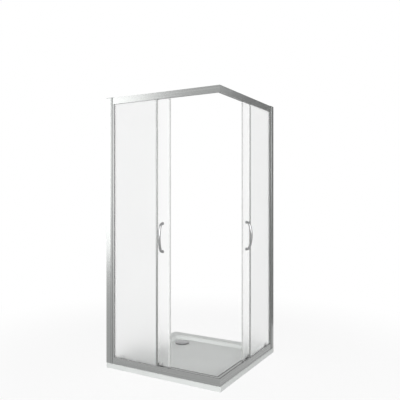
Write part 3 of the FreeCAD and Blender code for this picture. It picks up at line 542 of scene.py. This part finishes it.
# ---- rubber stops, springs and the waste's ring, in place of their plain solids ----
def track_stops():
    """Moulded buffers: a rounded block with a raised nose at each end."""
    _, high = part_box("track_stops")
    stop_low = (STOP_FRONT, high.z - STOP_HEIGHT)
    stop_high = (STOP_BACK, high.z)
    body = rounded_block(stop_low, stop_high, STOP_ROUND, 0)
    nose = rounded_block(stop_low, stop_high, STOP_ROUND, STOP_NOSE_INSET)
    shells = []
    for side in SIDES:
        for start in STOP_STARTS:
            end = start + STOP_LENGTH
            shells.append(bar(side, body, start + STOP_NOSE, end - STOP_NOSE))
            shells.append(bar(side, nose, start, start + STOP_NOSE))
            shells.append(bar(side, nose, end - STOP_NOSE, end))
    stops = piece("track_buffers", shells, "grey_rubber", "root")
    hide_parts("track_stops")


def coil(centre, radius, low, high):
    """A round wire wound into a compression spring with its two end turns closed."""
    wire = SPRING_WIRE / 2
    steps = int(SPRING_TURNS * SPRING_STEPS_A_TURN)
    corners, faces = [], []
    for i in range(steps + 1):
        share = i / steps
        angle = 2 * math.pi * SPRING_TURNS * share
        rise = share * share * (3 - 2 * share)  # slow at both ends, which closes their turns
        z = low + wire + (high - low - 2 * wire) * rise
        out = Vector((math.cos(angle), math.sin(angle), 0))
        for k in range(WIRE_SIDES):
            turn = 2 * math.pi * k / WIRE_SIDES
            reach = radius + wire * math.cos(turn)
            corners.append(Vector((centre.x, centre.y, z + wire * math.sin(turn))) + out * reach)
    for i in range(steps):
        near, far = i * WIRE_SIDES, (i + 1) * WIRE_SIDES
        for k in range(WIRE_SIDES):
            ahead = (k + 1) % WIRE_SIDES
            faces.append((near + k, near + ahead, far + ahead, far + k))
    faces.append(tuple(range(WIRE_SIDES))[::-1])
    faces.append(tuple(range(steps * WIRE_SIDES, (steps + 1) * WIRE_SIDES)))
    return corners, faces


def release_springs(side):
    """The two springs of a door's bottom rollers, which squash against the housing's roof."""
    low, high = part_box(f"{side}_release_springs")
    along = 0 if side == "left" else 1
    radius = (high[1 - along] - low[1 - along]) / 2
    places = (high[along] - radius, low[along] + radius)
    lead, trail = places if side == "left" else places[::-1]
    for end, place in (("lead", lead), ("trail", trail)):
        centre = (low + high) / 2
        centre[along] = place
        spring = piece(f"{side}_release_coil_{end}",
                       [coil(centre, radius - SPRING_WIRE / 2, low.z, high.z)],
                       "steel", f"{side}_door")
        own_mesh(spring)
        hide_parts(f"{side}_release_springs")


def waste_ring():
    """The rubber ring under the waste's flange, grooved on both faces."""
    low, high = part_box("waste_seal")
    centre = (low + high) / 2
    outer = (high.x - low.x) / 2
    thickness = high.z - low.z
    groove = [(RING_GROOVE[0], 0), (RING_GROOVE[0], RING_GROOVE_DEPTH),
              (RING_GROOVE[1], RING_GROOVE_DEPTH), (RING_GROOVE[1], 0)]
    section = rounded([(RING_HOLE, 0, RING_ROUND), *[(r, z, 0) for r, z in groove],
                       (outer, 0, RING_ROUND), (outer, thickness, RING_ROUND),
                       *[(r, thickness - z, 0) for r, z in groove[::-1]],
                       (RING_HOLE, thickness, RING_ROUND)])
    count = len(section)
    corners, faces = [], []
    for i in range(RING_STEPS):
        angle = 2 * math.pi * i / RING_STEPS
        out = (math.cos(angle), math.sin(angle))
        corners += [Vector((centre.x + r * out[0], centre.y + r * out[1], low.z + z))
                    for r, z in section]
        here, there = i * count, (i + 1) % RING_STEPS * count
        faces += [(here + k, here + (k + 1) % count, there + (k + 1) % count, there + k)
                  for k in range(count)]
    ring = piece("waste_ring", [(corners, faces)], "grey_rubber", "root")
    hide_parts("waste_seal")


# ---- stage ----
def seen_directly(tree):
    """1 for rays that show the background: camera rays, and those a metal or glass sends on."""
    rays = tree.nodes.new("ShaderNodeLightPath")
    factor = rays.outputs["Is Camera Ray"]
    for kind in ("Is Glossy Ray", "Is Transmission Ray"):
        either = tree.nodes.new("ShaderNodeMath")
        either.operation = "MAXIMUM"
        tree.links.new(factor, either.inputs[0])
        tree.links.new(rays.outputs[kind], either.inputs[1])
        factor = either.outputs["Value"]
    return factor


def floor_whiteness(tree):
    """How much of the floor is plain white: part of it near the object, all of it further off."""
    place = tree.nodes.new("ShaderNodeTexCoord")
    length = tree.nodes.new("ShaderNodeVectorMath")
    length.operation = "LENGTH"
    spread = tree.nodes.new("ShaderNodeMapRange")
    spread.interpolation_type = "SMOOTHSTEP"
    settle(spread, {"From Min": SHADOW_REACH, "From Max": WHITE_REACH,
                    "To Min": 1 - SHADOW_SHARE, "To Max": 1.0})
    tree.links.new(place.outputs["Object"], length.inputs[0])
    tree.links.new(length.outputs["Value"], spread.inputs["Value"])
    return spread.outputs["Result"]


def floor():
    bpy.ops.mesh.primitive_plane_add(size=FLOOR_SIZE, location=(0, 0, 0))
    plane = bpy.context.object
    plane.name = "floor"
    material, tree, shader = new_material("pale_floor")
    settle(shader, {"Base Color": FLOOR_TONE, "Roughness": 0.9, "Specular IOR Level": 0.0})
    white = tree.nodes.new("ShaderNodeEmission")
    share = tree.nodes.new("ShaderNodeMath")
    share.operation = "MULTIPLY"
    mix = tree.nodes.new("ShaderNodeMixShader")
    tree.links.new(seen_directly(tree), share.inputs[0])
    tree.links.new(floor_whiteness(tree), share.inputs[1])
    tree.links.new(share.outputs["Value"], mix.inputs["Fac"])
    tree.links.new(shader.outputs["BSDF"], mix.inputs[1])
    tree.links.new(white.outputs["Emission"], mix.inputs[2])
    tree.links.new(mix.outputs["Shader"], tree.nodes["Material Output"].inputs["Surface"])
    plane.data.materials.append(material)


def world():
    """A dim even light on the object, and plain white wherever the background is seen."""
    sky = bpy.data.worlds.new("studio")
    bpy.context.scene.world = sky
    sky.use_nodes = True
    tree = sky.node_tree
    ambient = tree.nodes["Background"]
    settle(ambient, {"Color": WHITE, "Strength": AMBIENT})
    white = tree.nodes.new("ShaderNodeBackground")
    settle(white, {"Color": WHITE})
    mix = tree.nodes.new("ShaderNodeMixShader")
    tree.links.new(seen_directly(tree), mix.inputs["Fac"])
    tree.links.new(ambient.outputs["Background"], mix.inputs[1])
    tree.links.new(white.outputs["Background"], mix.inputs[2])
    tree.links.new(mix.outputs["Shader"], tree.nodes["World Output"].inputs["Surface"])


def grey_card():
    """A card past the right screen's wall end, which only reflections show: it darkens that
    screen's frame to the photograph's tone."""
    bpy.ops.mesh.primitive_plane_add(size=1, location=CARD_PLACE)
    card = bpy.context.object
    card.name = "flag"
    card.scale = (CARD_WIDTH, CARD_HEIGHT, 1)
    card.rotation_euler = (math.radians(90), 0, 0)
    card.visible_camera = False
    card.visible_shadow = False
    card.visible_diffuse = False
    card.visible_transmission = False
    material, _, shader = new_material("grey_card")
    settle(shader, {"Base Color": CARD_TONE, "Roughness": 1.0})
    card.data.materials.append(material)


def lamp(name, place, target, width, height, power):
    light = bpy.data.lights.new(name, "AREA")
    light.shape = "RECTANGLE"
    light.size = width
    light.size_y = height
    light.energy = power
    holder = bpy.data.objects.new(name, light)
    holder.location = place
    holder.rotation_euler = (Vector(target) - Vector(place)).to_track_quat("-Z", "Y").to_euler()
    bpy.context.scene.collection.objects.link(holder)


def camera():
    data = bpy.data.cameras.new("camera")
    data.sensor_width = SENSOR_WIDTH
    data.lens = FOCAL_PIXELS * SENSOR_WIDTH / IMAGE_PIXELS
    data.shift_x = 0.5 - PRINCIPAL_X / IMAGE_PIXELS
    data.shift_y = PRINCIPAL_Y / IMAGE_PIXELS - 0.5
    holder = bpy.data.objects.new("camera", data)
    holder.location = CAMERA_PLACE
    holder.rotation_euler = (math.radians(90 - CAMERA_PITCH), 0, math.radians(CAMERA_YAW))
    bpy.context.scene.collection.objects.link(holder)
    bpy.context.scene.camera = holder


finish_nodes()
for screen in SIDES:
    magnet_seal(screen)
    trailing_seal(screen)
    fixed_gaskets(screen)
    release_springs(screen)
fin_seals()
track_stops()
waste_ring()
floor()
world()
grey_card()
for settings in LAMPS:
    lamp(*settings)
camera()
bpy.context.scene.view_settings.view_transform = "Standard"
